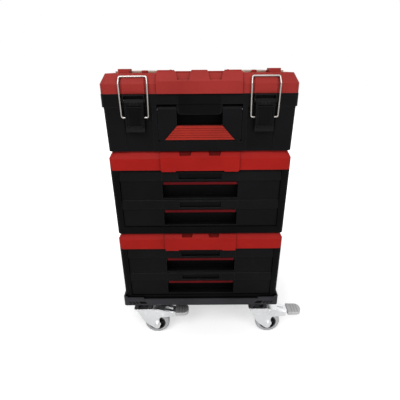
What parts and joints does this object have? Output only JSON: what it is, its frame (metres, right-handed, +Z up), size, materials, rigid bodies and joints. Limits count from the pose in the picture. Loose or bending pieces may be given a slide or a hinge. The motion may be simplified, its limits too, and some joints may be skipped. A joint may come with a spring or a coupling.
{
  "type": "rolling stackable tool box",
  "caption": "Stack of drawer cabinets and a latched lidded tool box on a caster dolly, with pull-out drawers, draw latches, a fold-down front handle and lid organisers.",
  "frame": {"origin": "on the floor under the middle of the stack", "axes": "+Z up, front towards -Y, +X to the right seen from the front"},
  "size_m": [0.6425, 0.3929, 0.812],
  "materials": {
    "black_plastic": "fine textured moulding",
    "red_plastic": "fine textured moulding",
    "lid_plastic": "fine textured moulding",
    "accent_plastic": "satin moulding",
    "grip_rubber": "soft ribbed overmould",
    "dolly_plastic": "textured moulding",
    "zinc_plate": "bright zinc plated",
    "chrome_wire": "bright drawn wire",
    "hub_plastic": "moulded",
    "grey_rubber": "soft non-marking tread",
    "pedal_plastic": "moulded",
    "amber_cover": "clear smoked cover"
  },
  "bodies": {
    "dolly": {"dolly_deck": "dolly_plastic", "caster_plates": "zinc_plate", "plate_bolts": "zinc_plate"},
    "front_left_caster": {"front_left_fork": "zinc_plate", "front_left_wheel_axle": "zinc_plate"},
    "front_left_wheel": {"front_left_wheel_hub": "hub_plastic", "front_left_tyre": "grey_rubber"},
    "front_left_pedal": {"front_left_brake_pedal": "zinc_plate", "front_left_pedal_pad": "pedal_plastic"},
    "front_right_caster": {"front_right_fork": "zinc_plate", "front_right_wheel_axle": "zinc_plate"},
    "front_right_wheel": {"front_right_wheel_hub": "hub_plastic", "front_right_tyre": "grey_rubber"},
    "front_right_pedal": {"front_right_brake_pedal": "zinc_plate", "front_right_pedal_pad": "pedal_plastic"},
    "rear_left_caster": {"rear_left_fork": "zinc_plate", "rear_left_wheel_axle": "zinc_plate"},
    "rear_left_wheel": {"rear_left_wheel_hub": "hub_plastic", "rear_left_tyre": "grey_rubber"},
    "rear_left_pedal": {"rear_left_brake_pedal": "zinc_plate", "rear_left_pedal_pad": "pedal_plastic"},
    "rear_right_caster": {"rear_right_fork": "zinc_plate", "rear_right_wheel_axle": "zinc_plate"},
    "rear_right_wheel": {"rear_right_wheel_hub": "hub_plastic", "rear_right_tyre": "grey_rubber"},
    "rear_right_pedal": {"rear_right_brake_pedal": "zinc_plate", "rear_right_pedal_pad": "pedal_plastic"},
    "lower_cabinet": {"lower_shell": "black_plastic", "lower_cap": "red_plastic"},
    "lower_bottom_drawer": {"lower_bottom_drawer_front": "black_plastic", "lower_bottom_drawer_tray": "black_plastic", "lower_bottom_drawer_strip": "accent_plastic"},
    "lower_top_drawer": {"lower_top_drawer_front": "black_plastic", "lower_top_drawer_tray": "black_plastic", "lower_top_drawer_strip": "accent_plastic"},
    "middle_cabinet": {"middle_shell": "black_plastic", "middle_cap": "red_plastic"},
    "middle_bottom_drawer": {"middle_bottom_drawer_front": "black_plastic", "middle_bottom_drawer_tray": "black_plastic", "middle_bottom_drawer_strip": "accent_plastic"},
    "middle_top_drawer": {"middle_top_drawer_front": "black_plastic", "middle_top_drawer_tray": "black_plastic", "middle_top_drawer_strip": "accent_plastic"},
    "top_box": {"top_tub": "black_plastic", "latch_ears": "black_plastic", "lid_hinge_pins": "zinc_plate", "handle_pins": "zinc_plate", "latch_pins": "zinc_plate"},
    "lid": {"top_lid": "lid_plastic"},
    "tote": {"tote_tray": "black_plastic"},
    "handle": {"carry_handle": "black_plastic", "handle_grip": "grip_rubber"},
    "left_lever": {"left_latch_lever": "black_plastic"},
    "left_bail": {"left_latch_bail": "chrome_wire"},
    "left_cover": {"left_organiser_cover": "amber_cover"},
    "right_lever": {"right_latch_lever": "black_plastic"},
    "right_bail": {"right_latch_bail": "chrome_wire"},
    "right_cover": {"right_organiser_cover": "amber_cover"}
  },
  "joints": [
    {"name": "front_left_swivel", "type": "hinge", "parent": "dolly", "child": "front_left_caster", "pos_m": [-0.1815, -0.148, 0.1], "axis": [0, 0, 1], "continuous": true},
    {"name": "front_left_roll", "type": "hinge", "parent": "front_left_caster", "child": "front_left_wheel", "pos_m": [-0.144, -0.148, 0.04], "axis": [0, 1, 0], "continuous": true},
    {"name": "front_left_brake", "type": "hinge", "parent": "front_left_caster", "child": "front_left_pedal", "pos_m": [-0.1415, -0.148, 0.09], "axis": [0, 1, 0], "range_deg": [0, 9]},
    {"name": "front_right_swivel", "type": "hinge", "parent": "dolly", "child": "front_right_caster", "pos_m": [0.1815, -0.148, 0.1], "axis": [0, 0, 1], "continuous": true},
    {"name": "front_right_roll", "type": "hinge", "parent": "front_right_caster", "child": "front_right_wheel", "pos_m": [0.219, -0.148, 0.04], "axis": [0, 1, 0], "continuous": true},
    {"name": "front_right_brake", "type": "hinge", "parent": "front_right_caster", "child": "front_right_pedal", "pos_m": [0.2215, -0.148, 0.09], "axis": [0, 1, 0], "range_deg": [0, 9]},
    {"name": "rear_left_swivel", "type": "hinge", "parent": "dolly", "child": "rear_left_caster", "pos_m": [-0.1815, 0.148, 0.1], "axis": [0, 0, 1], "continuous": true},
    {"name": "rear_left_roll", "type": "hinge", "parent": "rear_left_caster", "child": "rear_left_wheel", "pos_m": [-0.21772, 0.15771, 0.04], "axis": [-0.2588, -0.9659, 0], "continuous": true},
    {"name": "rear_left_brake", "type": "hinge", "parent": "rear_left_caster", "child": "rear_left_pedal", "pos_m": [-0.22014, 0.15835, 0.09], "axis": [-0.2588, -0.9659, 0], "range_deg": [0, 9]},
    {"name": "rear_right_swivel", "type": "hinge", "parent": "dolly", "child": "rear_right_caster", "pos_m": [0.1815, 0.148, 0.1], "axis": [0, 0, 1], "continuous": true},
    {"name": "rear_right_roll", "type": "hinge", "parent": "rear_right_caster", "child": "rear_right_wheel", "pos_m": [0.14457, 0.14149, 0.04], "axis": [0.1736, -0.9848, 0], "continuous": true},
    {"name": "rear_right_brake", "type": "hinge", "parent": "rear_right_caster", "child": "rear_right_pedal", "pos_m": [0.14211, 0.14105, 0.09], "axis": [0.1736, -0.9848, 0], "range_deg": [0, 9]},
    {"name": "lower_cabinet_lift", "type": "slide", "parent": "dolly", "child": "lower_cabinet", "axis": [0, 0, 1], "range_m": [0, 0.06]},
    {"name": "lower_bottom_drawer_slide", "type": "slide", "parent": "lower_cabinet", "child": "lower_bottom_drawer", "axis": [0, -1, 0], "range_m": [0, 0.23]},
    {"name": "lower_top_drawer_slide", "type": "slide", "parent": "lower_cabinet", "child": "lower_top_drawer", "axis": [0, -1, 0], "range_m": [0, 0.23]},
    {"name": "middle_cabinet_lift", "type": "slide", "parent": "lower_cabinet", "child": "middle_cabinet", "axis": [0, 0, 1], "range_m": [0, 0.06]},
    {"name": "middle_bottom_drawer_slide", "type": "slide", "parent": "middle_cabinet", "child": "middle_bottom_drawer", "axis": [0, -1, 0], "range_m": [0, 0.23]},
    {"name": "middle_top_drawer_slide", "type": "slide", "parent": "middle_cabinet", "child": "middle_top_drawer", "axis": [0, -1, 0], "range_m": [0, 0.23]},
    {"name": "top_box_lift", "type": "slide", "parent": "middle_cabinet", "child": "top_box", "axis": [0, 0, 1], "range_m": [0, 0.06]},
    {"name": "lid_hinge", "type": "hinge", "parent": "top_box", "child": "lid", "pos_m": [0, 0.186, 0.7575], "axis": [-1, 0, 0], "range_deg": [0, 95]},
    {"name": "tote_lift", "type": "slide", "parent": "top_box", "child": "tote", "axis": [0, 0, 1], "range_m": [0, 0.012]},
    {"name": "handle_swing", "type": "hinge", "parent": "top_box", "child": "handle", "pos_m": [0, -0.1705, 0.7215], "axis": [-1, 0, 0], "range_deg": [0, 95]},
    {"name": "left_lever_swing", "type": "hinge", "parent": "top_box", "child": "left_lever", "pos_m": [-0.155, -0.1845, 0.743], "axis": [-1, 0, 0], "range_deg": [0, 116]},
    {"name": "left_bail_swing", "type": "hinge", "parent": "left_lever", "child": "left_bail", "pos_m": [-0.155, -0.1845, 0.704], "axis": [1, 0, 0], "range_deg": [0, 250]},
    {"name": "left_cover_hinge", "type": "hinge", "parent": "lid", "child": "left_cover", "pos_m": [-0.092, 0, 0.8049], "axis": [0, 1, 0], "range_deg": [0, 105]},
    {"name": "right_lever_swing", "type": "hinge", "parent": "top_box", "child": "right_lever", "pos_m": [0.155, -0.1845, 0.743], "axis": [-1, 0, 0], "range_deg": [0, 116]},
    {"name": "right_bail_swing", "type": "hinge", "parent": "right_lever", "child": "right_bail", "pos_m": [0.155, -0.1845, 0.704], "axis": [1, 0, 0], "range_deg": [0, 250]},
    {"name": "right_cover_hinge", "type": "hinge", "parent": "lid", "child": "right_cover", "pos_m": [0.092, 0, 0.8049], "axis": [0, -1, 0], "range_deg": [0, 105]}
  ],
  "couplings": [
    {"joint": "left_lever_swing", "follows": "lid_hinge", "ratio": 1.2},
    {"joint": "left_bail_swing", "follows": "lid_hinge", "ratio": 2.6},
    {"joint": "right_lever_swing", "follows": "lid_hinge", "ratio": 1.2},
    {"joint": "right_bail_swing", "follows": "lid_hinge", "ratio": 2.6}
  ]
}
